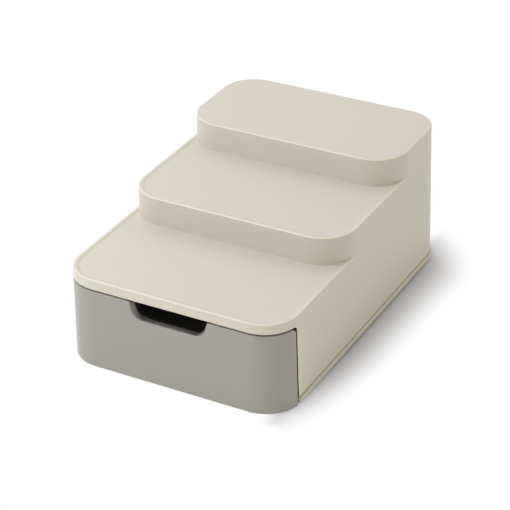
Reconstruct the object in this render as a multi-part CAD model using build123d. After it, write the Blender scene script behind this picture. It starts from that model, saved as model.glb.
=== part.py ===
"""Condiment caddy: a moulded housing of three stepped tiers over one full-width drawer.

Millimetres, +Z up. The origin is the middle of the footprint, on the surface that the feet stand on,
and +Y runs from the drawer's front to the back. The pieces are drawn with y measured from the foot of
the drawer's front, and moved to the origin as they are written.
"""
from build123d import *
import math
import os

# ---- driving dimensions ----------------------------------------------------------------------
WIDTH = 200.0                 # side to side at the foot of the walls
DEPTH = 300.0                 # front to back at the foot of the walls
TAPER = 0.0194                # every outer wall leans in by this much per millimetre of height
CORNER_RADIUS = 30.5          # the four upright corners, at the foot
WALL = 2.5                    # housing and drawer front
LEVELS = (80.6, 104.1, 127.6)           # height of each tier's top edge
TIER_FRONTS = (0.0, 99.0, 195.7)        # where each tier's front wall would meet the ground
RISER_RADIUS = 32.0           # upright front corners of the upper tiers, at the foot
EDGE_RADIUS = 1.0             # round on every top edge
SOFT_EDGE = 0.6               # small round on the drawer's front, its opening and the base

RIM_WIDTH = 1.8               # raised rim round the two lower tiers, measured at its top
RIM_FOOT = 5.0                # the same rim where it meets the tier's floor
RIM_HEIGHT = 0.75

BASE_TOP = 6.9                # the housing's bosses stand on the base here
BASE_SHEET = 2.4              # thickness of the base's sheet, at its top
SHADOW_GAP = 0.8              # narrow gap between the base and the housing's walls
PLINTH_PROUD = 1.0            # how far the base stands out past the walls
PLINTH_BOTTOM = 2.6
BASE_FRONT_INSET = 4.0        # the base's front part keeps this far inside the drawer's front

DRAWER_BOTTOM = 1.0           # lower edge of the drawer's front
OPENING_TOP = 71.9            # underside of the strip over the drawer
OPENING_REAR = 26.9           # the opening runs this far round both front corners
OPENING_ROUND = 3.0
FRONT_TOP_GAP = 1.5           # joint over the drawer's front
FRONT_REAR_GAP = 1.2          # joint behind its wrapped ends
FRONT_ROUND = 4.5             # its upper rear corners are rounder than the opening's

PULL_BOTTOM = 55.8            # finger pull in the drawer's front
PULL_HALF_FLOOR = 31.9        # half its width where its sides would meet its floor
PULL_HALF_TOP = 35.9
PULL_ROUND = 10.5
PULL_FLARE = 1.5
PULL_REACH = 6.0              # the lip round the pull runs back to here
PULL_SLANT = 0.5              # its sides close in by this much per millimetre of depth
PULL_LIP = 2.0                # thickness of that lip

TRAY_FRONT = 11.0
TRAY_REAR = 284.0
TRAY_HALF = 86.0
TRAY_BOTTOM = 9.8
TRAY_TOP = 66.0
TRAY_WALL = 2.0
TRAY_LEAN = 0.02              # the tray's walls lean out by this much per millimetre of height
TRAY_CORNER = 9.0
TRAY_FOOT_ROUND = 3.0
TRAY_INNER_ROUND = 2.5
TRAY_NOTCH_DROP = 4.8         # the tray's own front wall is cut this much lower than the pull
TRAY_NOTCH_NARROW = 0.5       # and this much narrower on each side than the pull's outer face
BEAD_PROUD = 1.2              # bead round the tray's rim, behind the drawer's front
BEAD_HEIGHT = 2.0
BEAD_START = TRAY_FRONT + 14.0
SCREW_PAD = 1.2               # pads on the tray's front wall under the screw heads
SCREW_PAD_RADIUS = 5.0

SCREW_SHANK = 1.5             # radii and lengths of the two pan-head screws
SCREW_HEAD = 2.9
SCREW_HEAD_HEIGHT = 2.0
SCREW_HEAD_ROUND = 0.9
SCREW_POINT = 1.2
CROSS_LENGTH = 3.4
CROSS_WIDTH = 0.8
BASE_SCREW_LENGTH = 14.0
FRONT_SCREW_LENGTH = 10.0
THREAD_CLEARANCE = 0.05       # radial room in a boss
HOLE_CLEARANCE = 0.3          # radial room in the piece that is held
BORE_SPARE = 1.5              # how much deeper a boss is bored than its screw reaches
HOUSING_SCREW_SPOTS = [(side * 93.6, y) for side in (-1, 1) for y in (46.0, 150.0, 254.0)]
FRONT_SCREW_SPOTS = [(side * 62.0, z) for side in (-1, 1) for z in (21.0, 46.0)]
HOUSING_BOSS = 4.0
HOUSING_BOSS_TOP = 34.0
FRONT_BOSS = 3.6
WELL_WALL = 2.0               # wall round each screw well under the base
WELL_ROOM = 0.6               # room round the screw head in its well

FOOT_RADIUS = 8.0
FOOT_HEIGHT = 3.4
FOOT_ROUND = 0.8
FOOT_ROOM = 0.2               # room round a foot in its pad
FOOT_PAD_WALL = 1.6
FOOT_SPOTS = {"left": -78.0, "right": 78.0}
FOOT_ROWS = {"front": 44.0, "rear": 262.0}

RAIL_HALF_SPACING = 60.0      # two rails carry the tray
RAIL_WIDTH = 4.0
RAIL_TOP = 9.5
RAIL_START = 16.0
GUIDE_ROOM = 0.4              # side play between the tray's foot and the guides
GUIDE_WIDTH = 1.5
GUIDE_TOP = 18.0
GUIDE_START = 30.0
LOCATING_RIB = 1.5            # ribs on the base that sit just inside the housing's walls
LOCATING_ROOM = 0.45
LOCATING_TOP = BASE_TOP + 3.0
LOCATING_RUNS = ((58.0, 138.0), (162.0, 242.0))
REAR_LOCATING_HALF = 45.0
SKIRT_WALL = 2.5
STIFFENER = 1.6               # thickness of the ribs under the base
STIFFENERS_ACROSS = (80.0, 150.0, 220.0)
STIFFENERS_ALONG = (-52.0, 0.0, 52.0)

HOLD_DOWN_X = 85.0            # ribs over the tray's sides that keep an open drawer level
HOLD_DOWN_WIDTH = 2.0
HOLD_DOWN_GAP = 1.0
HOLD_DOWN_RUN = (16.0, 106.0)
REAR_STOP_X = 60.0            # ribs on the back wall that the closed tray nearly meets
REAR_STOP_WIDTH = 2.5
REAR_STOP_GAP = 2.0
REAR_STOP_TOP = 72.0

STOP_FRONT = 36.0             # bar on the base that the tray's lug meets when the drawer is open
STOP_DEPTH = 4.0
STOP_HALF = 12.0
STOP_TOP = RAIL_TOP - 0.3
LUG_FRONT = 258.0
LUG_DEPTH = 4.0
LUG_HALF = 9.0
LUG_BOTTOM = BASE_TOP + 0.9

WALL_FOOT = BASE_TOP + SHADOW_GAP
CENTRE_SHIFT = -(DEPTH + PLINTH_PROUD) / 2
TAPER_DEGREES = math.degrees(math.atan(TAPER))
FAR = 400.0                   # longer than the object, for cuts that run right through
MERGE = 1.0                   # how far an added piece runs into what carries it


# ---- shared shapes ---------------------------------------------------------------------------
def block(front, bottom, top, inset=0.0, front_radius=CORNER_RADIUS, back=DEPTH):
    """Solid with the caddy's leaning walls between two heights, set in from the outside by inset."""
    lean = inset + TAPER * bottom
    half = WIDTH / 2 - lean
    near = front + lean
    far = back - lean
    plan = Pos(0, (near + far) / 2) * Rectangle(2 * half, far - near)
    by_depth = plan.vertices().sort_by(Axis.Y)
    plan = fillet(by_depth[:2], front_radius - lean)
    by_depth = plan.vertices().sort_by(Axis.Y)
    plan = fillet(by_depth[-2:], CORNER_RADIUS - lean)
    return extrude(Pos(0, 0, bottom) * plan, top - bottom, taper=TAPER_DEGREES)


def box(x0, x1, y0, y1, z0, z1):
    """Box between six planes."""
    middle = Pos((x0 + x1) / 2, (y0 + y1) / 2, (z0 + z1) / 2)
    return middle * Box(x1 - x0, y1 - y0, z1 - z0)


def post(x, y, z0, z1, radius):
    """Upright cylinder."""
    return Pos(x, y, (z0 + z1) / 2) * Cylinder(radius, z1 - z0)


def rod(x, z, y0, y1, radius):
    """Cylinder lying front to back."""
    return Pos(x, (y0 + y1) / 2, z) * Rot(90, 0, 0) * Cylinder(radius, y1 - y0)


def corner_prism(rear, bottom, top, radius):
    """Everything in front of rear between two heights, with its upper rear edge rounded."""
    side = Pos(rear - FAR / 2, (bottom + top) / 2) * Rectangle(FAR, top - bottom)
    upper_rear = side.vertices().sort_by(Axis.X)[-2:].sort_by(Axis.Y)[-1]
    side = fillet(upper_rear, radius)
    return extrude(Plane.YZ * side, FAR / 2, both=True)


def pull_outline(floor, top, grow=0.0):
    """Outline of the finger pull in X and Z: a tray shape with rounded floor and flared lips."""
    slope = (PULL_HALF_TOP - PULL_HALF_FLOOR) / (OPENING_TOP - PULL_BOTTOM)
    low = PULL_HALF_FLOOR + grow + slope * (floor - PULL_BOTTOM)
    high = low + slope * (top - floor)
    wing = high + 4 * PULL_FLARE
    sky = top + 4 * PULL_FLARE
    points = [(-wing, sky), (-wing, top), (-high, top), (-low, floor)]
    points += [(-x, z) for x, z in reversed(points)]
    plan = make_face(Polyline(*points, close=True))
    on_floor = plan.vertices().filter_by(lambda v: abs(v.Y - floor) < 0.01)
    plan = fillet(on_floor, PULL_ROUND)
    lips = plan.vertices().filter_by(lambda v: abs(v.Y - top) < 0.01 and abs(v.X) < wing - 1)
    return fillet(lips, PULL_FLARE)


def pull_cut(floor, top, near, far, grow=0.0, slant=0.0):
    """The finger pull's outline run from front to back between two depths."""
    ends = []
    for depth in (near, far):
        plan = pull_outline(floor, top, grow - slant * depth)
        ends.append(Plane.XZ * Pos(0, 0, -depth) * plan)
    return loft(ends, ruled=True)


def depth_under_skin(point):
    """How far a point in the front half lies inside the lower tier's outer wall."""
    lean = TAPER * point.Z
    half = WIDTH / 2 - lean
    radius = CORNER_RADIUS - lean
    across = abs(point.X) - (half - radius)
    ahead = lean + radius - point.Y
    if across > 0 and ahead > 0:
        return radius - math.hypot(across, ahead)
    return min(half - abs(point.X), point.Y - lean)


def soften(solid, chosen):
    """Round the chosen edges where they lie on the outer wall, but not its upright seams."""
    edges = []
    for edge in solid.edges():
        spots = [edge @ t for t in (0.0, 0.3, 0.7, 1.0)]
        on_skin = all(abs(depth_under_skin(spot)) < 0.02 for spot in spots)
        seam = abs(abs(spots[0].X) - (WIDTH / 2 - CORNER_RADIUS)) < 1 and abs(spots[0].X - spots[3].X) < 0.1
        if on_skin and not seam and all(chosen(spot) for spot in spots):
            edges.append(edge)
    return fillet(edges, SOFT_EDGE)


def screw(length):
    """Pan-head screw along -Z: the underside of its head is at z = 0 and a cross is cut in its top."""
    head = Pos(0, 0, SCREW_HEAD_HEIGHT / 2) * Cylinder(SCREW_HEAD, SCREW_HEAD_HEIGHT)
    head = fillet(head.edges().sort_by(Axis.Z)[-1], SCREW_HEAD_ROUND)
    shank = Pos(0, 0, -length / 2) * Cylinder(SCREW_SHANK, length)
    point = Pos(0, 0, -length - SCREW_POINT / 2) * Cone(SCREW_SHANK / 3, SCREW_SHANK, SCREW_POINT)
    slot = Pos(0, 0, SCREW_HEAD_HEIGHT) * Box(CROSS_LENGTH, CROSS_WIDTH, SCREW_HEAD_HEIGHT)
    return head + shank + point - slot - Rot(0, 0, 90) * slot


# ---- housing ---------------------------------------------------------------------------------
def recess(front, level, front_radius):
    """Space over a tier's sunken floor, inside its raised rim."""
    spread = (RIM_FOOT - RIM_WIDTH) / RIM_HEIGHT
    floor = level - RIM_HEIGHT
    rings = []
    for height in (floor, level + 0.2):
        inset = RIM_FOOT - spread * (height - floor) + TAPER * level
        half = WIDTH / 2 - inset
        plan = Pos(0, (front + inset + FAR) / 2) * Rectangle(2 * half, FAR - front - inset)
        corners = plan.vertices().sort_by(Axis.Y)[:2]
        rings.append(Pos(0, 0, height) * fillet(corners, front_radius - inset))
    return loft(rings, ruled=True)


def tier(index, back, rimmed):
    """One step of the housing as a solid, from the foot of the walls up to its own level."""
    front = TIER_FRONTS[index]
    radius = CORNER_RADIUS if index == 0 else RISER_RADIUS
    solid = block(front, WALL_FOOT, LEVELS[index], front_radius=radius)
    solid = fillet(solid.edges().group_by(Axis.Z)[-1], EDGE_RADIUS)
    if rimmed:
        solid -= recess(front, LEVELS[index], radius)
    return solid & box(-FAR, FAR, -FAR, back, 0, FAR)


def hollow(index, back, rimmed):
    """The space under one step, inside its walls and under its floor."""
    front = TIER_FRONTS[index]
    radius = CORNER_RADIUS if index == 0 else RISER_RADIUS
    ceiling = LEVELS[index] - WALL - (RIM_HEIGHT if rimmed else 0)
    solid = block(front, 0, ceiling, inset=WALL, front_radius=radius)
    return solid & box(-FAR, FAR, -FAR, back, -1, FAR)


def housing_ribs():
    """Two ribs under the lower tier that hold the tray down, and two stops on the back wall."""
    underside = LEVELS[0] - RIM_HEIGHT - WALL
    ribs = []
    for side in (-1, 1):
        x = side * HOLD_DOWN_X
        half = HOLD_DOWN_WIDTH / 2
        near, far = HOLD_DOWN_RUN
        ribs.append(box(x - half, x + half, near, far, TRAY_TOP + HOLD_DOWN_GAP, underside + MERGE / 2))
        x = side * REAR_STOP_X
        half = REAR_STOP_WIDTH / 2
        near = TRAY_REAR + REAR_STOP_GAP
        ribs.append(box(x - half, x + half, near, DEPTH - 2 * MERGE, WALL_FOOT, REAR_STOP_TOP))
    return ribs


def stepped_housing():
    """Three tiers in one shell, open underneath and across the drawer's opening."""
    backs = (TIER_FRONTS[1] + 46, TIER_FRONTS[2] + 46, FAR)
    rims = (True, True, False)
    shell = tier(0, backs[0], rims[0])
    space = hollow(0, backs[0], rims[0])
    for index in (1, 2):
        shell += tier(index, backs[index], rims[index])
        space += hollow(index, backs[index], rims[index])
    shell -= space
    shell += housing_ribs()
    for x, y in HOUSING_SCREW_SPOTS:
        shell += post(x, y, BASE_TOP, HOUSING_BOSS_TOP, HOUSING_BOSS)
    shell -= corner_prism(OPENING_REAR, -1, OPENING_TOP, OPENING_ROUND)
    shell = soften(shell, lambda spot: spot.Y < OPENING_REAR + 0.1 and spot.Z < OPENING_TOP + 0.1)
    bore_top = BASE_TOP + BASE_SCREW_LENGTH + BORE_SPARE
    for x, y in HOUSING_SCREW_SPOTS:
        shell -= post(x, y, 0, bore_top, SCREW_SHANK + THREAD_CLEARANCE)
    return shell


# ---- base ------------------------------------------------------------------------------------
def base_plan(bottom, top, proud, front_inset):
    """Base outline: proud of the walls behind the opening, and inside the drawer's front before it."""
    half = WIDTH / 2 + proud
    rear = DEPTH + proud
    wide = Pos(0, rear / 2) * Rectangle(2 * half, rear)
    wide = fillet(wide.vertices().sort_by(Axis.Y)[-2:], CORNER_RADIUS + proud)
    wide = wide & (Pos(0, OPENING_REAR + FAR / 2) * Rectangle(FAR, FAR))
    slim_rear = 2 * OPENING_REAR
    slim_half = WIDTH / 2 - front_inset
    slim = Pos(0, (front_inset + slim_rear) / 2) * Rectangle(2 * slim_half, slim_rear - front_inset)
    slim = fillet(slim.vertices().sort_by(Axis.Y)[:2], CORNER_RADIUS - front_inset)
    return extrude(Pos(0, 0, bottom) * (wide + slim), top - bottom)


def is_plinth_edge(edge):
    """True for the upper and lower edges of the base where it stands out past the walls."""
    middle = edge @ 0.5
    level = abs((edge @ 0).Z - (edge @ 1).Z) < 0.01
    wide = abs(middle.X) > WIDTH / 2 or middle.Y > DEPTH - CORNER_RADIUS
    return level and wide and middle.Y > OPENING_REAR + 1


def base_underside(sheet_bottom):
    """The space under the base's sheet, inside its skirt, less ribs, screw wells and foot pads."""
    inset = BASE_FRONT_INSET + SKIRT_WALL
    space = base_plan(PLINTH_BOTTOM - 1, sheet_bottom, PLINTH_PROUD - SKIRT_WALL, inset)
    half = STIFFENER / 2
    for x in STIFFENERS_ALONG:
        space -= box(x - half, x + half, 0, FAR, 0, sheet_bottom)
    for y in STIFFENERS_ACROSS:
        space -= box(-FAR, FAR, y - half, y + half, 0, sheet_bottom)
    for x, y in HOUSING_SCREW_SPOTS:
        space -= post(x, y, 0, sheet_bottom, SCREW_HEAD + WELL_ROOM + WELL_WALL)
    for y in FOOT_ROWS.values():
        for x in FOOT_SPOTS.values():
            space -= post(x, y, 0, sheet_bottom, FOOT_RADIUS + FOOT_ROOM + FOOT_PAD_WALL)
    return space


def base_topside():
    """Rails and guides for the tray, ribs that locate the housing, and the bar that stops the drawer."""
    low = BASE_TOP - MERGE
    ribs = []
    for side in (-1, 1):
        rail = side * RAIL_HALF_SPACING
        half = RAIL_WIDTH / 2
        ribs.append(box(rail - half, rail + half, RAIL_START, TRAY_REAR, low, RAIL_TOP))
        half = GUIDE_WIDTH / 2
        tray_foot = TRAY_HALF - TRAY_LEAN * (TRAY_TOP - GUIDE_TOP)
        guide = side * (tray_foot + GUIDE_ROOM + half)
        ribs.append(box(guide - half, guide + half, GUIDE_START, TRAY_REAR, low, GUIDE_TOP))
        half = LOCATING_RIB / 2
        rib = side * (WIDTH / 2 - WALL - LOCATING_ROOM - half)
        for near, far in LOCATING_RUNS:
            ribs.append(box(rib - half, rib + half, near, far, low, LOCATING_TOP))
    rear = DEPTH - WALL - LOCATING_ROOM
    ribs.append(box(-REAR_LOCATING_HALF, REAR_LOCATING_HALF, rear - LOCATING_RIB, rear, low, LOCATING_TOP))
    ribs.append(box(-STOP_HALF, STOP_HALF, STOP_FRONT, STOP_FRONT + STOP_DEPTH, low, STOP_TOP))
    return ribs


def base_plate():
    """Sheet with a skirt, ribs and foot pads underneath, and rails, guides and a stop on top."""
    sheet_bottom = BASE_TOP - BASE_SHEET
    base = base_plan(PLINTH_BOTTOM, BASE_TOP, PLINTH_PROUD, BASE_FRONT_INSET)
    base = fillet(base.edges().filter_by(is_plinth_edge), SOFT_EDGE)
    base -= base_underside(sheet_bottom)
    base += base_topside()
    for x, y in HOUSING_SCREW_SPOTS:
        base -= post(x, y, 0, BASE_TOP - SCREW_HEAD_HEIGHT, SCREW_HEAD + WELL_ROOM)
        base -= post(x, y, 0, FAR, SCREW_SHANK + HOLE_CLEARANCE)
    for y in FOOT_ROWS.values():
        for x in FOOT_SPOTS.values():
            base -= post(x, y, 0, FOOT_HEIGHT, FOOT_RADIUS + FOOT_ROOM)
    return base


def base_screws():
    """Six screws driven up through the base into the housing's bosses."""
    seat = BASE_TOP - SCREW_HEAD_HEIGHT
    return [Pos(x, y, seat) * Rot(180, 0, 0) * screw(BASE_SCREW_LENGTH) for x, y in HOUSING_SCREW_SPOTS]


def foot(x, y):
    """Rubber disc pressed into the base's pad, with a rounded lower edge."""
    disc = post(x, y, 0, FOOT_HEIGHT, FOOT_RADIUS)
    return fillet(disc.edges().sort_by(Axis.Z)[0], FOOT_ROUND)


# ---- drawer ----------------------------------------------------------------------------------
def drawer_front():
    """Curved front that wraps both corners, with the finger pull and its lip, and four bosses."""
    top = OPENING_TOP - FRONT_TOP_GAP
    front = block(0, 0, top + 5) - block(0, -5, top + 10, inset=WALL)
    lip = pull_cut(PULL_BOTTOM - PULL_LIP, top, WALL - MERGE, PULL_REACH, PULL_LIP, PULL_SLANT)
    front += lip & box(-FAR, FAR, 0, FAR, 0, top)
    for x, z in FRONT_SCREW_SPOTS:
        front += rod(x, z, WALL, TRAY_FRONT, FRONT_BOSS)
    front -= pull_cut(PULL_BOTTOM, top, -WALL, TRAY_FRONT, slant=PULL_SLANT)
    front &= corner_prism(OPENING_REAR - FRONT_REAR_GAP, DRAWER_BOTTOM, top, FRONT_ROUND)
    front = soften(front, lambda spot: True)
    bore_end = TRAY_FRONT + TRAY_WALL + SCREW_PAD - FRONT_SCREW_LENGTH - BORE_SPARE
    for x, z in FRONT_SCREW_SPOTS:
        front -= rod(x, z, bore_end, TRAY_FRONT + MERGE, SCREW_SHANK + THREAD_CLEARANCE)
    return front


def tray_block(bottom, top, inset):
    """Solid with the tray's leaning walls between two heights, set in by inset."""
    sizes = []
    for height in (bottom, top):
        shrink = inset + TRAY_LEAN * (TRAY_TOP - height)
        length = TRAY_REAR - TRAY_FRONT - 2 * shrink
        plan = RectangleRounded(2 * (TRAY_HALF - shrink), length, TRAY_CORNER - shrink)
        sizes.append(Pos(0, (TRAY_FRONT + TRAY_REAR) / 2, height) * plan)
    return loft(sizes, ruled=True)


def drawer_tray():
    """Open tray with a bead round its rim, a notch behind the pull and a lug under its rear edge."""
    outer = tray_block(TRAY_BOTTOM, TRAY_TOP, 0)
    outer = fillet(outer.edges().group_by(Axis.Z)[0], TRAY_FOOT_ROUND)
    inner = tray_block(TRAY_BOTTOM + TRAY_WALL, TRAY_TOP + MERGE, TRAY_WALL)
    inner = fillet(inner.edges().group_by(Axis.Z)[0], TRAY_INNER_ROUND)
    bead = tray_block(TRAY_TOP - BEAD_HEIGHT, TRAY_TOP, -BEAD_PROUD)
    bead &= box(-FAR, FAR, BEAD_START, FAR, 0, FAR)
    tray = outer + bead - inner
    pad_end = TRAY_FRONT + TRAY_WALL + SCREW_PAD
    for x, z in FRONT_SCREW_SPOTS:
        tray += rod(x, z, TRAY_FRONT, pad_end, SCREW_PAD_RADIUS)
    notch_floor = PULL_BOTTOM - TRAY_NOTCH_DROP
    tray -= pull_cut(notch_floor, TRAY_TOP + MERGE, 0, pad_end + MERGE, -TRAY_NOTCH_NARROW)
    lug_rear = LUG_FRONT + LUG_DEPTH
    tray += box(-LUG_HALF, LUG_HALF, LUG_FRONT, lug_rear, LUG_BOTTOM, TRAY_BOTTOM + MERGE)
    for x, z in FRONT_SCREW_SPOTS:
        tray -= rod(x, z, 0, pad_end + MERGE, SCREW_SHANK + HOLE_CLEARANCE)
    return tray


def drawer_front_screws():
    """Four screws from inside the tray into the bosses of the drawer's front."""
    seat = TRAY_FRONT + TRAY_WALL + SCREW_PAD
    return [Pos(x, seat, z) * Rot(-90, 0, 0) * screw(FRONT_SCREW_LENGTH) for x, z in FRONT_SCREW_SPOTS]


# ---- output ----------------------------------------------------------------------------------
def write(name, shape):
    """Move a piece to the origin and write it; a list of equal pieces goes into one file."""
    solids = [s for item in (shape if isinstance(shape, list) else [shape]) for s in item.solids()]
    placed = [Pos(0, CENTRE_SHIFT) * solid for solid in solids]
    piece = Compound(children=placed) if len(placed) > 1 else placed[0]
    piece.label = name
    export_step(piece, f"parts/{name}.step")


def main():
    os.makedirs("parts", exist_ok=True)
    write("stepped_housing", stepped_housing())
    write("base_plate", base_plate())
    write("base_screws", base_screws())
    for row, y in FOOT_ROWS.items():
        for side, x in FOOT_SPOTS.items():
            write(f"foot_{row}_{side}", foot(x, y))
    write("drawer_front", drawer_front())
    write("drawer_tray", drawer_tray())
    write("drawer_front_screws", drawer_front_screws())


main()
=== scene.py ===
"""Finishes, fasteners, feet, stage and camera for a stepped condiment caddy with one drawer."""

import math

import bmesh
import bpy
from mathutils import Matrix, Vector


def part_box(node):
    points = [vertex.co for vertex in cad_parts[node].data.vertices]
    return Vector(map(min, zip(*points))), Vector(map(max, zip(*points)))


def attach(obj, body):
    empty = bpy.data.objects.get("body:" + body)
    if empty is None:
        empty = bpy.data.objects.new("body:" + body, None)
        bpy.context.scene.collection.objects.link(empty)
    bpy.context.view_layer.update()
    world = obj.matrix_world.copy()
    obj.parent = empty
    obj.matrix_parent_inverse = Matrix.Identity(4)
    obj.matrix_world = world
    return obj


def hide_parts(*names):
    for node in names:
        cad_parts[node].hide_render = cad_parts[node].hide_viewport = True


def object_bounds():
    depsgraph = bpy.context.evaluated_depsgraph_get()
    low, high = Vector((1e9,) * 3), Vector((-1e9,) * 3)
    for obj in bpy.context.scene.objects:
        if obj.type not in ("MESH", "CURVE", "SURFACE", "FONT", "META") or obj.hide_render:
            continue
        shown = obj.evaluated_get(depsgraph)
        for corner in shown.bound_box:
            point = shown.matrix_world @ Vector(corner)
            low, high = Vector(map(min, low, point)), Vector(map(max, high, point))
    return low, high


bl_info = {
    "name": "Stepped condiment caddy",
    "version": (1, 0, 0),
    "blender": (4, 5, 0),
    "location": "3D View > Sidebar > Caddy",
    "description": "Finishes, fasteners, feet and studio for a stepped caddy with a drawer",
    "category": "Object",
}

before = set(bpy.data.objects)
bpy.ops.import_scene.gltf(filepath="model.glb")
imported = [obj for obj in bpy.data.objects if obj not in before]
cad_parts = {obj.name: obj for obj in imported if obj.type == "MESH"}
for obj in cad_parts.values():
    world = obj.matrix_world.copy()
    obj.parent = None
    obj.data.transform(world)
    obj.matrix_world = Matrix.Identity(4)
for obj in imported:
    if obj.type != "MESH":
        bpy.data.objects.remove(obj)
cad_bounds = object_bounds()
MM = 0.001
HOUSING_BODY = "housing"
DRAWER_BODY = "drawer"
MERGE = 0.002 * MM                  # vertices nearer than this are one

# Places on the housing that its finish picks out
TIER_LEVELS = (80.6 * MM, 104.1 * MM, 127.6 * MM)
RIMMED_LEVELS = TIER_LEVELS[:2]     # the two lower tiers have a raised rim
OVER_LEVEL = 0.2 * MM               # a little above a tier's top, so that all of its edge counts
ROUND_DROP = 0.95 * MM              # how far down a tier's rounded edge reaches
CREST_DROP = 0.28 * MM              # the same for the flat crest of a rim
SLOPE_TOP = 0.12 * MM               # a rim's inner slope lies between these two drops
SLOPE_FOOT = 0.74 * MM
LEVEL_SOFT = 0.15 * MM              # heights over which the marks of edges and slopes fade
SLOPE_SOFT = 0.2 * MM
OPENING_TOP = 71.9 * MM             # upper edge of the drawer's opening
JAMB = -123.6 * MM                  # its rear edge in both side walls, along the depth
JAMB_AHEAD = 0.7 * MM               # the wall's end face lies from this far in front of it
JAMB_BEHIND = 0.3 * MM              # to this far behind it
JAMB_HIGHLIGHT_STRIP = (0.2 * MM, 3.2 * MM)   # strip of wall with a painted highlight and less roughness, from and to this far behind it
LIT_WALL_REAR = -95 * MM             # painted light: walls are lighter and less rough in front of this
LIT_WALL_FADE = 60 * MM

# How far a face points up: 1 on a flat top and 0 on a wall
ROUNDED = (0.12, 0.995)             # rounded edges lie between these
SLOPING = (0.94, 0.99)              # and a rim's inner slope between these
FACES_UP = 0.9                      # tops are over this
FACES_SIDEWAYS = 0.3                # and walls under this

# The inside of the finger pull
PULL_SKIN = 2.2 * MM                # where it starts, behind the drawer's outer face
PULL_REACH = 17 * MM                # and where it ends
PULL_HALF = 38 * MM                 # half its width
PULL_DEPTH = 17 * MM                # how far down it goes from the drawer's upper edge
EDGE_SOFT = 0.5 * MM                # how softly its marks and the opening's end

# Moulded plastic
FLOW_SIZE = 60 * MM                 # size of slow changes of tone, of patches and of smears
PATCH_SIZE = 9 * MM
SMEAR_SIZE = 28 * MM
MOTTLE = 0.012                      # change of tone either way
GRAIN_SHADE = 0.985                 # tone of the grain's high places
SMEAR_GLOSS = 0.05                  # change of roughness by smears, by grain and where the painted highlights lie
GRAIN_GLOSS = 0.06
HIGHLIGHT_GLOSS = 0.12
PAINTED_HIGHLIGHT_LIFT = (1.19, 1.17, 1.13)   # how much lighter a full painted highlight is
CREST_HIGHLIGHT = 0.6                 # shares of painted light on crests, walls and the strip by the drawer
FRONT_WALL_LIGHT = 0.6
JAMB_HIGHLIGHT = 0.75
SLOPE_SHADE = 0.13                  # share of shade on a rim's inner slope
RECESS_SHADE = 0.15                 # tone of a fully shaded recess
RECESS_REACH = 30 * MM              # pieces nearer than this close a place in
RECESS_OPEN = 0.8                   # shade starts where less than this share is open
RECESS_SOFT = 0.15                  # and is full this much below it
GRAIN_DEPTH = 0.05 * MM
GRAIN_STRENGTH = 0.25
TRAY_TINT = 0.97                    # the tray against the drawer's front
TRAY_SMOOTHER = 0.06

# Screws, mostly as shares of their own sizes
HEAD_UNDERSIDE = 0.2                # part of the head's profile that is its flat underside
DOME_REACH = 0.45                   # powers that flatten the head's dome
DOME_RISE = 0.8
CROSS_LENGTH = 1.15                 # arms of the cross recess, by the head's radius and height
CROSS_WIDTH = 0.26
CROSS_DEPTH = 1.3
POINT_START = 0.88                  # where along the shank its point starts
POINT_TAPER = 0.85                  # how much thinner the point's end is
THREAD_PITCH = 1.15 * MM
THREADED = 0.86                     # threaded share of the length
THREAD_END = 0.93                   # where along the length the thread ends
THREAD_RIB = 1.05                   # the rib's radius by the thread's height
CROSS_TURNS = {1: (0.25, 0.9), 2: (0.35, 1.1)}  # by axis: first cross, and what each next one adds
SCREW_CREASE = 35                   # edges sharper than this many degrees stay crisp

# Feet, as shares of the profile from the middle of the face to the middle of the top
FOOT_FACE = 0.7                     # where the face ends
FOOT_ROUND = 0.8                    # where the rounded edge ends
FOOT_SIDE = 0.9                     # where the side ends
FOOT_FACE_REACH = 0.9               # the face's radius by the foot's
FOOT_RINGS = 3                      # grip grooves
FOOT_RING_END = 0.66                # the grooves end before this
FOOT_CREASE = 40                    # as for the screws

# Light and shadow
COOL = (0.98, 1.0, 1.18)
WARM = (1.05, 1.0, 0.86)
MILD = (1.0, 1.0, 1.07)
SKY = (1.0, 1.0, 0.92)
WHITE = (1.0, 1.0, 1.0)
LAMPS = (                           # name, azimuth, elevation, colour, distance and side
    ("front", -30, 30, MILD, 1.1, 0.7),
    ("high", -60, 55, COOL, 1.6, 0.9),
    ("left", -120, 45, MILD, 1.6, 0.9),
    ("rear", 140, 45, WARM, 1.6, 0.9),
    ("right", 92, 18, WARM, 1.0, 0.6),
)
SHADOW_WIDE = 100 * MM              # the shadow narrows in front of this place along the depth
SHADOW_RUN = 250 * MM               # and is narrowest this much further forward


# ---- colours and points ---------------------------------------------------------------------
def linear(red, green, blue):
    """Scene-linear colour for an 8-bit display colour."""
    def channel(level):
        share = level / 255
        return share / 12.92 if share <= 0.04045 else ((share + 0.055) / 1.055) ** 2.4
    return channel(red), channel(green), channel(blue)


def islands(mesh):
    """Vertex positions of each separate solid in a mesh, in the order in which they are met."""
    work = bmesh.new()
    work.from_mesh(mesh)
    bmesh.ops.remove_doubles(work, verts=work.verts, dist=MERGE)
    unseen = set(work.verts)
    found = []
    for start in list(work.verts):
        if start not in unseen:
            continue
        unseen.discard(start)
        waiting, members = [start], []
        while waiting:
            vertex = waiting.pop()
            members.append(vertex.co.copy())
            for link in vertex.link_edges:
                other = link.other_vert(vertex)
                if other in unseen:
                    unseen.discard(other)
                    waiting.append(other)
        found.append(members)
    work.free()
    return found


def span(points, axis):
    """Lowest and highest value of some points along an axis."""
    values = [point[axis] for point in points]
    return min(values), max(values)


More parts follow.
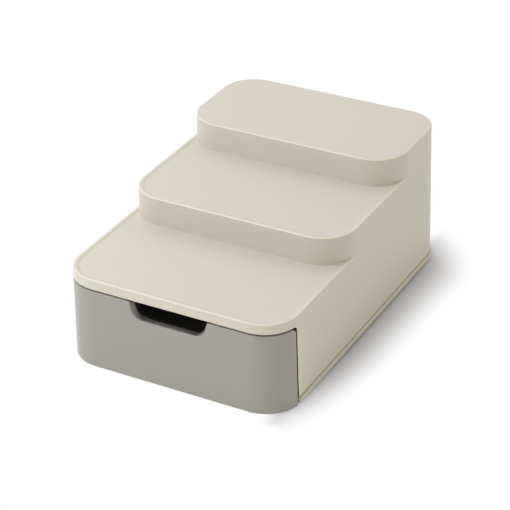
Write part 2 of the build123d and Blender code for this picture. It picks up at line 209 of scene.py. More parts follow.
# ---- node trees -----------------------------------------------------------------------------
class Level:
    """A number that varies over a surface: one socket, with the arithmetic the finishes use."""

    def __init__(self, sheet, socket):
        self.sheet = sheet
        self.socket = socket

    def _with(self, operation, *terms, clamp=False):
        """What a Math node makes of some terms."""
        made = self.sheet.node("ShaderNodeMath", {"operation": operation, "use_clamp": clamp},
                               dict(enumerate(terms)))
        return Level(self.sheet, made.outputs[0])

    def __add__(self, other):
        return self._with("ADD", self, other)

    def __sub__(self, other):
        return self._with("SUBTRACT", self, other)

    def __mul__(self, other):
        return self._with("MULTIPLY", self, other)

    def __rsub__(self, other):
        return self._with("SUBTRACT", other, self)

    def __truediv__(self, other):
        return self._with("DIVIDE", self, other)

    def __pow__(self, other):
        return self._with("POWER", self, other)

    __radd__ = __add__
    __rmul__ = __mul__

    def sine(self):
        return self._with("SINE", self)

    def cosine(self):
        return self._with("COSINE", self)

    def clamped(self):
        """The same, kept from 0 to 1."""
        return self._with("ADD", self, 0.0, clamp=True)

    def above(self, limit):
        """1 over a limit and 0 under it."""
        return self._with("GREATER_THAN", self, limit)

    def larger(self, other):
        """The larger of two levels."""
        return self._with("MAXIMUM", self, other)


class NodeSheet:
    """A node tree that is being written."""

    def __init__(self, tree):
        self.tree = tree
        self.tree.nodes.clear()

    def node(self, kind, settings=None, sockets=None):
        """A node of one kind, with its settings made first and then its sockets set or linked."""
        made = self.tree.nodes.new(kind)
        for name, value in (settings or {}).items():
            setattr(made, name, value)
        for name, value in (sockets or {}).items():
            socket = made.inputs[name]
            value = getattr(value, "socket", value)
            if isinstance(value, bpy.types.NodeSocket):
                self.tree.links.new(value, socket)
            else:
                socket.default_value = value
        return made

    def out(self, kind, settings=None, sockets=None, output=0):
        """The same, giving one output as a level that can be reckoned with."""
        return Level(self, self.node(kind, settings, sockets).outputs[output])

    def parts(self, vector):
        """The three parts of a vector, as levels."""
        split = self.node("ShaderNodeSeparateXYZ", None, {0: vector})
        return [Level(self, output) for output in split.outputs]

    def place(self):
        """Object coordinates."""
        return self.out("ShaderNodeTexCoord", output=3)


def finish_sheet(name):
    """A new material and the sheet of its node tree."""
    material = bpy.data.materials.new(name)
    material.use_nodes = True
    return material, NodeSheet(material.node_tree)


def principled(sheet, height, strength, depth, sockets):
    """The surface of a finish: its grain as a bump, and the rest as given."""
    bump = sheet.node("ShaderNodeBump", None,
                      {"Strength": strength, "Distance": depth, "Height": height})
    shader = sheet.node("ShaderNodeBsdfPrincipled", None, {**sockets, "Normal": bump.outputs[0]})
    sheet.node("ShaderNodeOutputMaterial", None, {"Surface": shader.outputs[0]})


def noise(sheet, place, size, detail=2.0, roughness=0.5):
    """Soft random level from 0 to 1 whose features are about one size across, in metres."""
    return sheet.out("ShaderNodeTexNoise", {"noise_dimensions": "3D"},
                     {"Vector": place, "Scale": 1 / size, "Detail": detail, "Roughness": roughness})


def openness(sheet):
    """Share of the directions from a place that no piece blocks nearby, in whatever pose."""
    return sheet.out("ShaderNodeAmbientOcclusion", {"samples": 16}, {"Distance": RECESS_REACH},
                     output=1)


def blend(sheet, share, first, second):
    """Colour between two colours."""
    made = sheet.node("ShaderNodeMix", {"data_type": "RGBA"}, {"Factor": share})
    for key, colour in (("A", first), ("B", second)):
        socket = [s for s in made.inputs if s.name == key and s.type == "RGBA"][0]
        if isinstance(colour, bpy.types.NodeSocket):
            sheet.tree.links.new(colour, socket)
        else:
            socket.default_value = (*colour, 1.0)
    return [s for s in made.outputs if s.type == "RGBA"][0]


def shaded(colour, factor):
    """A colour with each channel multiplied by a number."""
    return tuple(channel * factor for channel in colour)


# ---- finishes -------------------------------------------------------------------------------
def band(level, low, high, soft):
    """1 where a level lies between two values, falling to 0 over a soft width."""
    return ((level - low) / soft).clamped() * ((high - level) / soft).clamped()


def largest(shares):
    """The largest of some shares at each point."""
    total = shares[0]
    for share in shares[1:]:
        total = total.larger(share)
    return total


def moulded_plastic(name, colour, grain, roughness, highlight_and_gloss=None, recess=None):
    """Matt moulded plastic: spark-eroded grain and slow unevenness of flow.

    The two optional masks give shares of painted highlight, lighter and less rough, and of
    painted shade, from the object's coordinates and the surface's upward slope.
    """
    material, sheet = finish_sheet(name)
    place = sheet.place()
    spot = sheet.parts(place)
    facing = sheet.node("ShaderNodeNewGeometry")
    upward = sheet.parts(facing.outputs["Normal"])[2]
    flow = noise(sheet, place, FLOW_SIZE, detail=3.0)
    patch = noise(sheet, place, PATCH_SIZE, detail=2.0)
    fine = noise(sheet, place, grain, detail=3.0, roughness=0.6)
    tone = flow * 0.6 + patch * 0.4
    base = blend(sheet, tone, shaded(colour, 1 - MOTTLE), shaded(colour, 1 + MOTTLE))
    base = blend(sheet, fine * 0.5, base, shaded(colour, GRAIN_SHADE))
    smear = noise(sheet, place, SMEAR_SIZE, detail=4.0, roughness=0.65)
    gloss = roughness + (smear - 0.5) * SMEAR_GLOSS + (fine - 0.5) * GRAIN_GLOSS
    if highlight_and_gloss:
        highlight = highlight_and_gloss(spot, upward)
        # painted highlight: a lighter colour, with lower roughness
        base = blend(sheet, highlight, base, painted_highlight_colour(colour))
        gloss = gloss - highlight * HIGHLIGHT_GLOSS
    if recess:
        base = blend(sheet, recess(spot, upward), base, shaded(colour, RECESS_SHADE))
    principled(sheet, fine * 0.7 + patch * 0.3, GRAIN_STRENGTH, GRAIN_DEPTH, {
        "Base Color": base, "Roughness": gloss, "IOR": 1.46, "Specular IOR Level": 0.45})
    return material


def painted_highlight_colour(colour):
    """The lighter tone of a painted highlight."""
    return tuple(min(1.0, channel * lift) for channel, lift in zip(colour, PAINTED_HIGHLIGHT_LIFT))


def housing_highlight_and_gloss(spot, upward):
    """Share of painted light that also lowers roughness: highlights on rounded edges and rims, and the
    walls round the drawer.
    """
    _, deep, height = spot
    # painted highlights on the tiers' rounded edges and on the rims' crests
    shares = [band(height, level - ROUND_DROP, level + OVER_LEVEL, LEVEL_SOFT)
              * band(upward, *ROUNDED, 0.05) for level in TIER_LEVELS]
    shares += [band(height, level - CREST_DROP, level + OVER_LEVEL, LEVEL_SOFT)
               * upward.above(FACES_UP) * CREST_HIGHLIGHT for level in RIMMED_LEVELS]
    # painted light: the walls lighter towards the front
    lit_front_walls = ((LIT_WALL_REAR - deep) / LIT_WALL_FADE).clamped()
    shares.append(lit_front_walls * (1 - upward.above(FACES_SIDEWAYS)) * FRONT_WALL_LIGHT)
    # painted highlight on a strip of wall just behind the drawer's opening
    jamb_highlight = band(deep, JAMB + JAMB_HIGHLIGHT_STRIP[0], JAMB + JAMB_HIGHLIGHT_STRIP[1], 0.8 * MM)
    shares.append(jamb_highlight * below_opening_top(height) * JAMB_HIGHLIGHT)
    return largest(shares)


def below_opening_top(height):
    """1 below the top of the drawer's opening."""
    return ((OPENING_TOP - height) / EDGE_SOFT).clamped()


def enclosed(sheet):
    """1 where other pieces close a place in, 0 where it is open."""
    return ((RECESS_OPEN - openness(sheet)) / RECESS_SOFT).clamped()


def housing_recess(spot, upward):
    """Share of shaded recess: the slope inside the lower rims, and the joint beside the drawer."""
    _, deep, height = spot
    sloping = band(upward, *SLOPING, 0.01)
    slopes = [band(height, level - SLOPE_FOOT, level - SLOPE_TOP, SLOPE_SOFT) * sloping
              for level in RIMMED_LEVELS]
    jamb = band(deep, JAMB - JAMB_AHEAD, JAMB + JAMB_BEHIND, 0.1 * MM) * below_opening_top(height)
    return (largest(slopes) * SLOPE_SHADE).larger(jamb * enclosed(height.sheet))


def pull_recess(spot, _upward):
    """Share of shaded recess: the inside of the finger pull, while the housing closes it in."""
    across, deep, height = spot
    low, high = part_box("drawer_front")
    behind = band(deep, low.y + PULL_SKIN, low.y + PULL_REACH, EDGE_SOFT)
    between = band(across, -PULL_HALF, PULL_HALF, EDGE_SOFT)
    above = ((height - (high.z - PULL_DEPTH)) / EDGE_SOFT).clamped()
    return behind * between * above * enclosed(height.sheet)


def foot_rubber(name, colour):
    """Dull rubber with a little dust and a fine skin."""
    material, sheet = finish_sheet(name)
    place = sheet.place()
    dust = noise(sheet, place, size=4 * MM, detail=4.0)
    skin = noise(sheet, place, size=0.5 * MM, detail=2.0)
    base = blend(sheet, (dust * 1.6 - 0.5).clamped(), colour, shaded(colour, 1.7))
    principled(sheet, skin, 0.4, 0.08 * MM, {
        "Base Color": base, "Roughness": 0.72 + dust * 0.15, "IOR": 1.5})
    return material


def plated_steel(name, colour):
    """Zinc-plated screw steel, slightly clouded and rough."""
    material, sheet = finish_sheet(name)
    place = sheet.place()
    cloud = noise(sheet, place, size=1.5 * MM, detail=3.0)
    scratch = noise(sheet, place, size=0.15 * MM, detail=2.0)
    base = blend(sheet, cloud, shaded(colour, 0.85), colour)
    principled(sheet, scratch, 0.2, 0.02 * MM, {
        "Base Color": base, "Roughness": 0.28 + cloud * 0.15, "Metallic": 1.0})
    return material


def paint(piece, material):
    """Give a piece one material."""
    piece.data.materials.clear()
    piece.data.materials.append(material)


# ---- geometry trees -------------------------------------------------------------------------
class GeometrySheet(NodeSheet):
    """A geometry node tree with one geometry input and named inputs for its sizes."""

    def __init__(self, name, sizes):
        tree = bpy.data.node_groups.new(name, "GeometryNodeTree")
        super().__init__(tree)
        tree.interface.new_socket("Geometry", in_out="OUTPUT", socket_type="NodeSocketGeometry")
        tree.interface.new_socket("Geometry", in_out="INPUT", socket_type="NodeSocketGeometry")
        self.identifiers = {}
        for label, value in sizes.items():
            socket = tree.interface.new_socket(label, in_out="INPUT", socket_type="NodeSocketFloat")
            socket.default_value = value
            self.identifiers[label] = socket.identifier
        self.source = self.node("NodeGroupInput")

    def size(self, label):
        """One of the tree's own inputs."""
        return Level(self, self.source.outputs[label])

    def vector(self, x=0.0, y=0.0, z=0.0):
        """A vector of three levels or numbers."""
        return self.node("ShaderNodeCombineXYZ", None, {"X": x, "Y": y, "Z": z}).outputs[0]

    def turned(self, rings, sides, radius, height):
        """A lathe shape: radius and height are functions of how far along the profile a ring is."""
        grid = self.node("GeometryNodeMeshGrid", None, {
            "Size X": 1.0, "Size Y": 1.0, "Vertices X": sides + 1, "Vertices Y": rings + 1})
        across, deep, _ = self.parts(self.node("GeometryNodeInputPosition").outputs[0])
        angle = (across + 0.5) * (2 * math.pi)
        along = (deep + 0.5).clamped()
        reach = radius(along)
        moved = self.node("GeometryNodeSetPosition", None, {
            "Geometry": grid.outputs["Mesh"],
            "Position": self.vector(reach * angle.cosine(), reach * angle.sine(), height(along))})
        return self.node("GeometryNodeMergeByDistance", None, {
            "Geometry": moved.outputs[0], "Distance": MERGE}).outputs[0]

    def curve_levels(self, along, places, values):
        """A level that runs straight from value to value as along passes the places."""
        total = None
        for index in range(len(places) - 1):
            width = places[index + 1] - places[index]
            step = values[index + 1] - values[index]
            part = ((along - places[index]) / width).clamped() * step
            total = part if total is None else total + part
        return total + values[0]

    def close(self, geometry, material):
        """Instances made real, one material, and the tree's output."""
        real = self.node("GeometryNodeRealizeInstances", None, {"Geometry": geometry})
        done = self.node("GeometryNodeSetMaterial", None, {
            "Geometry": real.outputs[0], "Material": material})
        self.node("NodeGroupOutput", None, {"Geometry": done.outputs[0]})


def point_mesh(name, places):
    """A mesh of loose points, each with the turn that its instance takes."""
    mesh = bpy.data.meshes.new(name)
    mesh.from_pydata([place for place, _ in places], [], [])
    turn = mesh.attributes.new("turn", "FLOAT_VECTOR", "POINT")
    for index, (_, angles) in enumerate(places):
        turn.data[index].vector = angles
    piece = bpy.data.objects.new(name, mesh)
    bpy.context.scene.collection.objects.link(piece)
    return piece


def baked(piece, sheet, sizes):
    """Run a geometry tree on a piece with its sizes set, and keep the result as a plain mesh."""
    modifier = piece.modifiers.new("shape", "NODES")
    modifier.node_group = sheet.tree
    for label, value in sizes.items():
        modifier[sheet.identifiers[label]] = value
    graph = bpy.context.evaluated_depsgraph_get()
    mesh = bpy.data.meshes.new_from_object(piece.evaluated_get(graph), depsgraph=graph)
    piece.modifiers.clear()
    old = piece.data
    piece.data = mesh
    bpy.data.meshes.remove(old)
    mesh.name = piece.name
    return piece


def smooth_by_angle(mesh, degrees):
    """Smooth shading, with the edges sharper than an angle kept crisp."""
    work = bmesh.new()
    work.from_mesh(mesh)
    limit = math.radians(degrees)
    for face in work.faces:
        face.smooth = True
    for edge in work.edges:
        edge.smooth = not (edge.is_manifold and edge.calc_face_angle() > limit)
    work.to_mesh(mesh)
    work.free()


# ---- screws ---------------------------------------------------------------------------------
def screw_tree(sizes, material):
    """Pan-head screws with a cross recess and a rolled thread, one on each point."""
    sheet = GeometrySheet("pan_head_screws", sizes)
    head = sheet.size("Head Radius")
    rise = sheet.size("Head Height")
    core = sheet.size("Core Radius")
    crest = sheet.size("Thread Radius")
    length = sheet.size("Length")

    def dome(along):
        """Angle over the head's dome: 0 at its edge and a right angle at its middle."""
        return ((along - HEAD_UNDERSIDE) / (1 - HEAD_UNDERSIDE)).clamped() * (math.pi / 2)

    def reach(along):
        under = (along * (1 / HEAD_UNDERSIDE)).clamped()
        return core * 0.5 * (1 - under) + head * under * (dome(along).cosine() ** DOME_REACH)

    def height(along):
        return rise * (dome(along).sine() ** DOME_RISE)

    cap = sheet.turned(24, 40, reach, height)
    arms = []
    for quarter in range(2):
        arm = sheet.node("GeometryNodeMeshCube", None, {
            "Size": sheet.vector(head * CROSS_LENGTH, head * CROSS_WIDTH, rise * CROSS_DEPTH)})
        arms.append(sheet.node("GeometryNodeTransform", None, {
            "Geometry": arm.outputs["Mesh"], "Translation": sheet.vector(z=rise),
            "Rotation": (0.0, 0.0, quarter * math.pi / 2)}).outputs[0])
    cut = sheet.node("GeometryNodeMeshBoolean", {"operation": "DIFFERENCE", "solver": "EXACT"})
    sheet.tree.links.new(cap, cut.inputs[0])
    for arm in arms:
        sheet.tree.links.new(arm, cut.inputs[1])

    def shank_reach(along):
        """Radius of the shank, thinner towards its point."""
        return core * (1 - ((along - POINT_START) / (1 - POINT_START)).clamped() * POINT_TAPER)

    shank = sheet.turned(30, 20, shank_reach, lambda along: along * length * -1.0)
    coil = sheet.node("GeometryNodeCurveSpiral", None, {
        "Resolution": 22, "Rotations": (length / THREAD_PITCH) * THREADED,
        "Start Radius": core, "End Radius": core, "Height": length * THREADED})
    rib = sheet.node("GeometryNodeCurvePrimitiveCircle", None, {
        "Resolution": 3, "Radius": (crest - core) * THREAD_RIB})
    thread = sheet.node("GeometryNodeCurveToMesh", None, {
        "Curve": coil.outputs[0], "Profile Curve": rib.outputs[0], "Fill Caps": True})
    wound = sheet.node("GeometryNodeTransform", None, {
        "Geometry": thread.outputs[0], "Translation": sheet.vector(z=length * -THREAD_END)})
    whole = sheet.node("GeometryNodeJoinGeometry")
    for part in (cut.outputs[0], shank, wound.outputs[0]):
        sheet.tree.links.new(part, whole.inputs[0])
    points = sheet.node("GeometryNodeMeshToPoints", None, {"Mesh": sheet.source.outputs[0]})
    turn = sheet.node("GeometryNodeInputNamedAttribute", {"data_type": "FLOAT_VECTOR"},
                      {"Name": "turn"})
    rows = sheet.node("GeometryNodeInstanceOnPoints", None, {
        "Points": points.outputs[0], "Instance": whole.outputs[0], "Rotation": turn.outputs[0]})
    sheet.close(rows.outputs[0], material)
    return sheet


def screw_row(name, node, body, axis, head_first, material, props):
    """Screws where a CAD node has them. Their heads are at the low or high end of the axis."""
    places = []
    length = 0.0
    for points in islands(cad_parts[node].data):
        low, high = span(points, axis)
        length = high - low - props.head_height
        centre = Vector([sum(span(points, other)) / 2 for other in range(3)])
        centre[axis] = low + props.head_height if head_first == "low" else high - props.head_height
        first, step = CROSS_TURNS[axis]
        cross = first + step * len(places)
        turn = (math.pi, 0.0, cross) if axis == 2 else (-math.pi / 2, cross, 0.0)
        places.append((centre, turn))
    sizes = {"Head Radius": props.head_radius, "Head Height": props.head_height,
             "Core Radius": props.core_radius, "Thread Radius": props.thread_radius,
             "Length": length}
    piece = baked(point_mesh(name, places), screw_tree(sizes, material), sizes)
    smooth_by_angle(piece.data, SCREW_CREASE)
    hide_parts(node)
    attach(piece, body)


# ---- feet -----------------------------------------------------------------------------------
def foot_tree(sizes, material):
    """Rubber discs with a rounded edge and grip grooves underneath, one on each point."""
    sheet = GeometrySheet("grooved_feet", sizes)
    radius = sheet.size("Radius")
    depth = sheet.size("Height")
    edge = sheet.size("Edge Round")
    groove = sheet.size("Groove Depth")

    def reach(along):
        return radius * sheet.curve_levels(along, (0.0, FOOT_FACE, FOOT_ROUND, FOOT_SIDE, 1.0),
                                           (0.0, FOOT_FACE_REACH, 1.0, 1.0, 0.0))

    def height(along):
        bend = ((along - FOOT_FACE) / (FOOT_ROUND - FOOT_FACE)).clamped()
        side = ((along - FOOT_ROUND) / (FOOT_SIDE - FOOT_ROUND)).clamped()
        ring = (along * (2 * math.pi * FOOT_RINGS / FOOT_FACE)).cosine()
        inner = ((FOOT_RING_END - along) * 40.0).clamped()
        dip = groove * (ring * 1.6).clamped() * inner
        lift = edge * (1 - (1 - bend * bend + 0.0001) ** 0.5)
        return dip + lift * (1 - side) + side * depth

    disc = sheet.turned(90, 56, reach, height)
    points = sheet.node("GeometryNodeMeshToPoints", None, {"Mesh": sheet.source.outputs[0]})
    rows = sheet.node("GeometryNodeInstanceOnPoints", None, {
        "Points": points.outputs[0], "Instance": disc})
    sheet.close(rows.outputs[0], material)
    return sheet


def face_outwards(mesh):
    """Normals that point out of a closed shape."""
    work = bmesh.new()
    work.from_mesh(mesh)
    bmesh.ops.recalc_face_normals(work, faces=work.faces)
    work.to_mesh(mesh)
    work.free()


# ---- stage ----------------------------------------------------------------------------------
def camera_ray_share(sheet):
    """1 for what the camera, a mirror or clear glass sees, and 0 for light that bounces."""
    path = sheet.node("ShaderNodeLightPath")
    seen = [Level(sheet, path.outputs[name])
            for name in ("Is Camera Ray", "Is Glossy Ray", "Is Transmission Ray")]
    return (seen[0] + seen[1] + seen[2]).clamped()


def eased(share):
    """A share from 0 to 1 that starts and ends gently."""
    return share * share * (3 - share * 2)


def painted_shadow_share(sheet, props):
    """Painted shadow: 0 on the floor inside a fixed shape beside the object, rising to 1 outside it.
    """
    high = cad_bounds[1]
    across, deep, _ = sheet.parts(sheet.place())
    soft = props.shadow_round
    right = across - (high.x - soft)
    left = (props.shadow_left - across) * props.shadow_left_rate
    rear = deep - (high.y - soft)
    front = (props.shadow_front - deep) * props.shadow_front_rate
    reach_x, reach_y = right.larger(left).larger(0.0), rear.larger(front).larger(0.0)
    distance = (reach_x * reach_x + reach_y * reach_y) ** 0.5 - soft
    forward = ((SHADOW_WIDE - deep) / SHADOW_RUN).clamped()
    narrow = forward * props.shadow_narrow + 1.0
    rise = ((distance - props.shadow_reach) * narrow / props.shadow_fade).clamped()
    ahead = ((props.shadow_end - deep) / props.shadow_end_fade).clamped()
    return eased(rise).larger(eased(ahead))


def floor_material(props):
    """White floor: inside the painted shadow's shape the camera sees a darker, lit floor; plain white
    outside.
    """
    material, sheet = finish_sheet("white_floor")
    seen = camera_ray_share(sheet)
    # painted shadow: the camera sees the floor in the darker shadow colour
    colour = blend(sheet, seen, props.floor_colour, props.shadow_colour)
    matt = sheet.node("ShaderNodeBsdfDiffuse", None, {"Color": colour})
    plain = sheet.node("ShaderNodeEmission", None, {"Color": (*WHITE, 1.0), "Strength": 1.0})
    mix = sheet.node("ShaderNodeMixShader", None, {
        0: painted_shadow_share(sheet, props) * seen, 1: matt.outputs[0], 2: plain.outputs[0]})
    sheet.node("ShaderNodeOutputMaterial", None, {"Surface": mix.outputs[0]})
    return material


def make_floor(props):
    """Flat floor under the feet."""
    mesh = bpy.data.meshes.new("floor")
    work = bmesh.new()
    bmesh.ops.create_grid(work, x_segments=8, y_segments=8, size=props.floor_half)
    work.to_mesh(mesh)
    work.free()
    floor = bpy.data.objects.new("floor", mesh)
    bpy.context.scene.collection.objects.link(floor)
    paint(floor, floor_material(props))


def make_world(props):
    """Even light from all round, and plain white where the camera sees past the floor."""
    world = bpy.data.worlds.new("studio")
    world.use_nodes = True
    sheet = NodeSheet(world.node_tree)
    seen = camera_ray_share(sheet)
    strength = seen * (1.0 - props.sky_strength) + props.sky_strength
    colour = blend(sheet, seen, SKY, WHITE)
    light = sheet.node("ShaderNodeBackground", None, {"Color": colour, "Strength": strength})
    sheet.node("ShaderNodeOutputWorld", None, {"Surface": light.outputs[0]})
    bpy.context.scene.world = world


def outwards(turn, rise):
    """Direction away from the object: a turn from its front to its right, and a rise, in radians."""
    level = math.cos(rise)
    return Vector((math.sin(turn) * level, -math.cos(turn) * level, math.sin(rise)))


def softbox(name, azimuth, elevation, power, colour, distance, side):
    """Square lamp that looks at the object's middle. The angles are in degrees."""
    lamp = bpy.data.lights.new(name, "AREA")
    lamp.shape = "SQUARE"
    lamp.size = side
    lamp.energy = power
    lamp.color = colour
    holder = bpy.data.objects.new(name, lamp)
    bpy.context.scene.collection.objects.link(holder)
    low, high = cad_bounds
    back = outwards(math.radians(azimuth), math.radians(elevation))
    holder.location = (low + high) / 2 + back * distance
    holder.rotation_mode = "QUATERNION"
    holder.rotation_quaternion = (-back).to_track_quat("-Z", "Y")


def make_camera(props):
    """Camera at the photograph's place: right of the drawer, looking down on the tiers."""
    low, high = cad_bounds
    target = Vector((props.aim_x, (low.y + high.y) / 2 + props.aim_y, props.aim_z))
    back = outwards(props.view_azimuth, props.view_elevation)
    side = (-back).cross(Vector((0, 0, 1))).normalized()
    up = side.cross(-back)
    roll = props.view_roll
    across = side * math.cos(roll) + up * math.sin(roll)
    above = up * math.cos(roll) - side * math.sin(roll)
    data = bpy.data.cameras.new("camera")
    data.sensor_fit = "HORIZONTAL"
    data.sensor_width = 36.0
    data.lens = props.lens
    data.clip_start = 0.05
    data.clip_end = 50.0
    camera = bpy.data.objects.new("camera", data)
    bpy.context.scene.collection.objects.link(camera)
    camera.rotation_mode = "QUATERNION"
    place = Matrix((across, above, back)).transposed().to_4x4()
    place.translation = target + back * props.view_distance
    camera.matrix_world = place
    bpy.context.scene.camera = camera


# ---- properties -----------------------------------------------------------------------------
class PlasticLook(bpy.types.PropertyGroup):
    """Colours and grain of the moulded pieces."""
    housing_colour: bpy.props.FloatVectorProperty(
        name="Housing", description="Colour of the stepped housing", subtype="COLOR",
        default=linear(213, 207, 191), min=0.0, max=1.0)
    base_colour: bpy.props.FloatVectorProperty(
        name="Base", description="Colour of the base under the housing", subtype="COLOR",
        default=linear(208, 202, 186), min=0.0, max=1.0)
    drawer_colour: bpy.props.FloatVectorProperty(
        name="Drawer", description="Colour of the drawer's front and tray", subtype="COLOR",
        default=linear(167, 164, 156), min=0.0, max=1.0)
    grain: bpy.props.FloatProperty(
        name="Grain", description="Size of the moulded surface's grain", default=0.45 * MM,
        min=0.1 * MM, max=3 * MM, unit="LENGTH", precision=5)
    housing_roughness: bpy.props.FloatProperty(
        name="Housing roughness", description="How matt the housing is", default=0.40,
        min=0.0, max=1.0, subtype="FACTOR")
    drawer_roughness: bpy.props.FloatProperty(
        name="Drawer roughness", description="How matt the drawer is", default=0.34,
        min=0.0, max=1.0, subtype="FACTOR")


class FastenerSizes(bpy.types.PropertyGroup):
    """Sizes of the screws and feet."""
    head_radius: bpy.props.FloatProperty(
        name="Head radius", description="Radius of a screw's head", default=2.9 * MM,
        min=1 * MM, max=6 * MM, unit="LENGTH", precision=5)
    head_height: bpy.props.FloatProperty(
        name="Head height", description="Height of a screw's head", default=2.0 * MM,
        min=0.5 * MM, max=4 * MM, unit="LENGTH", precision=5)
    core_radius: bpy.props.FloatProperty(
        name="Core radius", description="Radius of the shank between the threads", default=1.1 * MM,
        min=0.5 * MM, max=3 * MM, unit="LENGTH", precision=5)
    thread_radius: bpy.props.FloatProperty(
        name="Thread radius", description="Radius over the threads", default=1.45 * MM,
        min=0.5 * MM, max=3 * MM, unit="LENGTH", precision=5)
    steel_colour: bpy.props.FloatVectorProperty(
        name="Steel", description="Colour of the screws", subtype="COLOR",
        default=linear(190, 191, 194), min=0.0, max=1.0)
    foot_edge: bpy.props.FloatProperty(
        name="Foot edge", description="Round on a foot's lower edge", default=0.8 * MM,
        min=0.1 * MM, max=3 * MM, unit="LENGTH", precision=5)
    foot_groove: bpy.props.FloatProperty(
        name="Foot groove", description="Depth of the grip grooves", default=0.5 * MM,
        min=0.0, max=2 * MM, unit="LENGTH", precision=5)
    rubber_colour: bpy.props.FloatVectorProperty(
        name="Rubber", description="Colour of the feet", subtype="COLOR",
        default=linear(92, 91, 88), min=0.0, max=1.0)


class StageSettings(bpy.types.PropertyGroup):
    """Floor, light and camera."""
    floor_colour: bpy.props.FloatVectorProperty(
        name="Floor", description="Colour of the floor as it lights the object", subtype="COLOR",
        default=(0.965, 0.96, 0.92), min=0.0, max=1.0)
    floor_half: bpy.props.FloatProperty(
        name="Floor half width", description="Half the width of the floor", default=4.0,
        min=0.5, max=20.0, unit="LENGTH")
    # painted shadow: the settings from here to the shadow's end fade give its colour and shape
    shadow_colour: bpy.props.FloatVectorProperty(
        name="Shadow", description="Colour of the floor as the camera sees it in the shadow",
        subtype="COLOR", default=(0.648, 0.638, 0.70), min=0.0, max=1.0)
    shadow_round: bpy.props.FloatProperty(
        name="Shadow corners", description="Radius of the shadow's corners",
        default=59.1 * MM, min=1 * MM, max=0.1, unit="LENGTH", precision=4)
    shadow_front: bpy.props.FloatProperty(
        name="Shadow front", description="Place along the depth in front of which the shadow fades",
        default=-20.8 * MM, unit="LENGTH", precision=4)
    shadow_front_rate: bpy.props.FloatProperty(
        name="Front rate", description="How fast it fades there, against its fade at the right side",
        default=0.446, min=0.0, max=10.0)
    shadow_left: bpy.props.FloatProperty(
        name="Shadow left", description="Place across the width to the left of which the shadow fades",
        default=118 * MM, unit="LENGTH", precision=4)
    shadow_left_rate: bpy.props.FloatProperty(
        name="Left rate", description="How fast it fades there, against its fade at the right side",
        default=1.914, min=0.0, max=10.0)
    shadow_reach: bpy.props.FloatProperty(
        name="Shadow reach", description="Distance from the object at which the shadow starts to fade",
        default=-2.6 * MM, min=-0.1, max=0.5, unit="LENGTH", precision=4)
    shadow_fade: bpy.props.FloatProperty(
        name="Shadow fade", description="Distance over which it fades to white",
        default=50.3 * MM, min=0.01, max=2.0, unit="LENGTH", precision=4)
    shadow_narrow: bpy.props.FloatProperty(
        name="Shadow narrowing", description="How much faster it fades beside the lowest tier",
        default=0.286, min=0.0, max=5.0)
    shadow_end: bpy.props.FloatProperty(
        name="Shadow end", description="Place along the depth in front of which the floor is plain",
        default=-142 * MM, unit="LENGTH", precision=4)
    shadow_end_fade: bpy.props.FloatProperty(
        name="End fade", description="Distance over which the shadow ends there",
        default=20 * MM, min=0.001, max=1.0, unit="LENGTH", precision=4)
    sky_strength: bpy.props.FloatProperty(
        name="Sky", description="Even light from all round", default=0.49, min=0.0, max=2.0)
    front_power: bpy.props.FloatProperty(
        name="Front lamp", description="Large lamp at the left in front", default=2.42,
        min=0.0, max=200.0, unit="POWER")
    high_power: bpy.props.FloatProperty(
        name="High lamp", description="Large lamp high at the left", default=8.2,
        min=0.0, max=200.0, unit="POWER")
    left_power: bpy.props.FloatProperty(
        name="Left lamp", description="Large lamp behind the object at the left", default=3.5,
        min=0.0, max=200.0, unit="POWER")
    rear_power: bpy.props.FloatProperty(
        name="Rear lamp", description="Large lamp behind the object at the right", default=2.5,
        min=0.0, max=200.0, unit="POWER")
    right_power: bpy.props.FloatProperty(
        name="Right lamp", description="Weak low lamp at the right", default=0.35,
        min=0.0, max=200.0, unit="POWER")
    lens: bpy.props.FloatProperty(
        name="Lens", description="Focal length", default=130.515, min=20.0, max=400.0,
        unit="CAMERA")
    view_distance: bpy.props.FloatProperty(
        name="Distance", description="From the camera to the point it aims at", default=1.5393,
        min=0.3, max=10.0, unit="LENGTH", precision=4)
    view_azimuth: bpy.props.FloatProperty(
        name="Azimuth", description="Turn of the camera to the object's right",
        default=math.radians(28.907), subtype="ANGLE")
    view_elevation: bpy.props.FloatProperty(
        name="Elevation", description="Height of the camera above the horizon",
        default=math.radians(30.283), subtype="ANGLE")
    view_roll: bpy.props.FloatProperty(
        name="Roll", description="Tilt of the picture", default=math.radians(-1.099), subtype="ANGLE")
    aim_x: bpy.props.FloatProperty(
        name="Aim X", description="Sideways place of the aim point", default=-4.65 * MM,
        unit="LENGTH", precision=5)
    aim_y: bpy.props.FloatProperty(
        name="Aim Y", description="Aim point behind the middle of the object", default=-0.44 * MM,
        unit="LENGTH", precision=5)
    aim_z: bpy.props.FloatProperty(
        name="Aim Z", description="Height of the aim point", default=42.47 * MM,
        unit="LENGTH", precision=5)


# ---- operators ------------------------------------------------------------------------------
class CADDY_OT_housing(bpy.types.Operator):
    """Give the stepped housing its moulded finish"""
    bl_idname = "caddy.housing"
    bl_label = "Housing"

    def execute(self, context):
        look = context.scene.caddy_plastic
        material = moulded_plastic("cream_plastic", look.housing_colour, look.grain,
                                   look.housing_roughness, highlight_and_gloss=housing_highlight_and_gloss,
                                   recess=housing_recess)
        paint(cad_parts["stepped_housing"], material)
        return {"FINISHED"}


class CADDY_OT_base(bpy.types.Operator):
    """Give the base plate its moulded finish"""
    bl_idname = "caddy.base"
    bl_label = "Base"

    def execute(self, context):
        look = context.scene.caddy_plastic
        material = moulded_plastic("base_plastic", look.base_colour, look.grain,
                                   look.housing_roughness)
        paint(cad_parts["base_plate"], material)
        return {"FINISHED"}


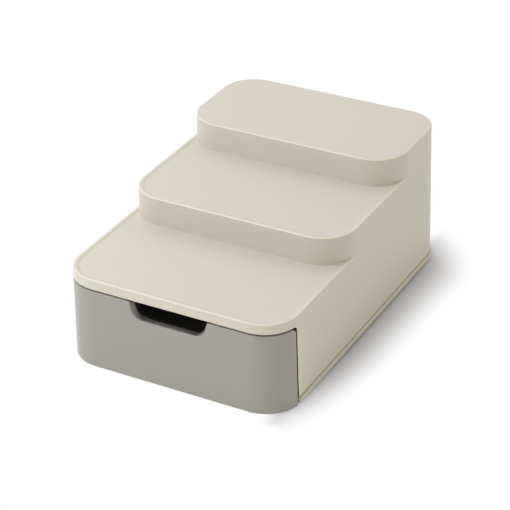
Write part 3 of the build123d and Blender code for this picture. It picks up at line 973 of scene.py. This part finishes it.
class CADDY_OT_drawer(bpy.types.Operator):
    """Give the drawer's front and tray their moulded finish"""
    bl_idname = "caddy.drawer"
    bl_label = "Drawer"

    def execute(self, context):
        look = context.scene.caddy_plastic
        front = moulded_plastic("grey_plastic", look.drawer_colour, look.grain, look.drawer_roughness,
                                recess=pull_recess)
        tray = moulded_plastic("tray_plastic", shaded(look.drawer_colour, TRAY_TINT), look.grain,
                               look.drawer_roughness - TRAY_SMOOTHER, recess=pull_recess)
        paint(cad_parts["drawer_front"], front)
        paint(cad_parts["drawer_tray"], tray)
        return {"FINISHED"}


class CADDY_OT_screws(bpy.types.Operator):
    """Make the screws of the base and of the drawer's front"""
    bl_idname = "caddy.screws"
    bl_label = "Screws"

    def execute(self, context):
        sizes = context.scene.caddy_fasteners
        steel = plated_steel("zinc_plated_steel", sizes.steel_colour)
        screw_row("base_screw_row", "base_screws", HOUSING_BODY, 2, "low", steel, sizes)
        screw_row("drawer_screw_row", "drawer_front_screws", DRAWER_BODY, 1, "high", steel, sizes)
        return {"FINISHED"}


class CADDY_OT_feet(bpy.types.Operator):
    """Make the four rubber feet"""
    bl_idname = "caddy.feet"
    bl_label = "Feet"

    def execute(self, context):
        props = context.scene.caddy_fasteners
        rubber = foot_rubber("foot_rubber", props.rubber_colour)
        nodes = sorted(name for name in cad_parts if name.startswith("foot_"))
        if len(nodes) != 4:
            raise RuntimeError(f"the model should have four feet, and has {len(nodes)}")
        places = []
        for name in nodes:
            low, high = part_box(name)
            centre = (low + high) / 2
            places.append(((centre.x, centre.y, low.z), (0.0, 0.0, 0.0)))
        sizes = {"Radius": (high.x - low.x) / 2, "Height": high.z - low.z,
                 "Edge Round": props.foot_edge, "Groove Depth": props.foot_groove}
        piece = baked(point_mesh("rubber_feet", places), foot_tree(sizes, rubber), sizes)
        face_outwards(piece.data)
        smooth_by_angle(piece.data, FOOT_CREASE)
        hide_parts(*nodes)
        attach(piece, HOUSING_BODY)
        return {"FINISHED"}


class CADDY_OT_stage(bpy.types.Operator):
    """Set up the floor, the light and the camera"""
    bl_idname = "caddy.stage"
    bl_label = "Stage"

    def execute(self, context):
        props = context.scene.caddy_stage
        context.scene.view_settings.view_transform = "Standard"
        make_floor(props)
        make_world(props)
        for name, azimuth, elevation, colour, distance, side in LAMPS:
            power = getattr(props, name + "_power")
            softbox(name + "_lamp", azimuth, elevation, power, colour, distance, side)
        make_camera(props)
        return {"FINISHED"}


class CADDY_PT_panel(bpy.types.Panel):
    """Sizes, colours and steps of the caddy"""
    bl_label = "Caddy"
    bl_idname = "CADDY_PT_panel"
    bl_space_type = "VIEW_3D"
    bl_region_type = "UI"
    bl_category = "Caddy"

    def draw(self, context):
        for group in GROUPS:
            box = self.layout.box()
            props = getattr(context.scene, group)
            for name in props.bl_rna.properties.keys():
                if name not in ("rna_type", "name"):
                    box.prop(props, name)
        for operator in OPERATORS:
            self.layout.operator(operator.bl_idname)


GROUPS = {"caddy_plastic": PlasticLook, "caddy_fasteners": FastenerSizes,
          "caddy_stage": StageSettings}
OPERATORS = (CADDY_OT_housing, CADDY_OT_base, CADDY_OT_drawer, CADDY_OT_screws, CADDY_OT_feet,
             CADDY_OT_stage)


def register():
    """Add the settings, the steps and the panel."""
    for group in GROUPS.values():
        bpy.utils.register_class(group)
    for operator in OPERATORS:
        bpy.utils.register_class(operator)
    bpy.utils.register_class(CADDY_PT_panel)
    for name, group in GROUPS.items():
        setattr(bpy.types.Scene, name, bpy.props.PointerProperty(type=group))


def unregister():
    """Take them away again."""
    for name in GROUPS:
        delattr(bpy.types.Scene, name)
    bpy.utils.unregister_class(CADDY_PT_panel)
    for operator in reversed(OPERATORS):
        bpy.utils.unregister_class(operator)
    for group in GROUPS.values():
        bpy.utils.unregister_class(group)


def main():
    """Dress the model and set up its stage."""
    register()
    bpy.ops.caddy.housing()
    bpy.ops.caddy.base()
    bpy.ops.caddy.drawer()
    bpy.ops.caddy.screws()
    bpy.ops.caddy.feet()
    bpy.ops.caddy.stage()


if __name__ == "__main__":
    main()
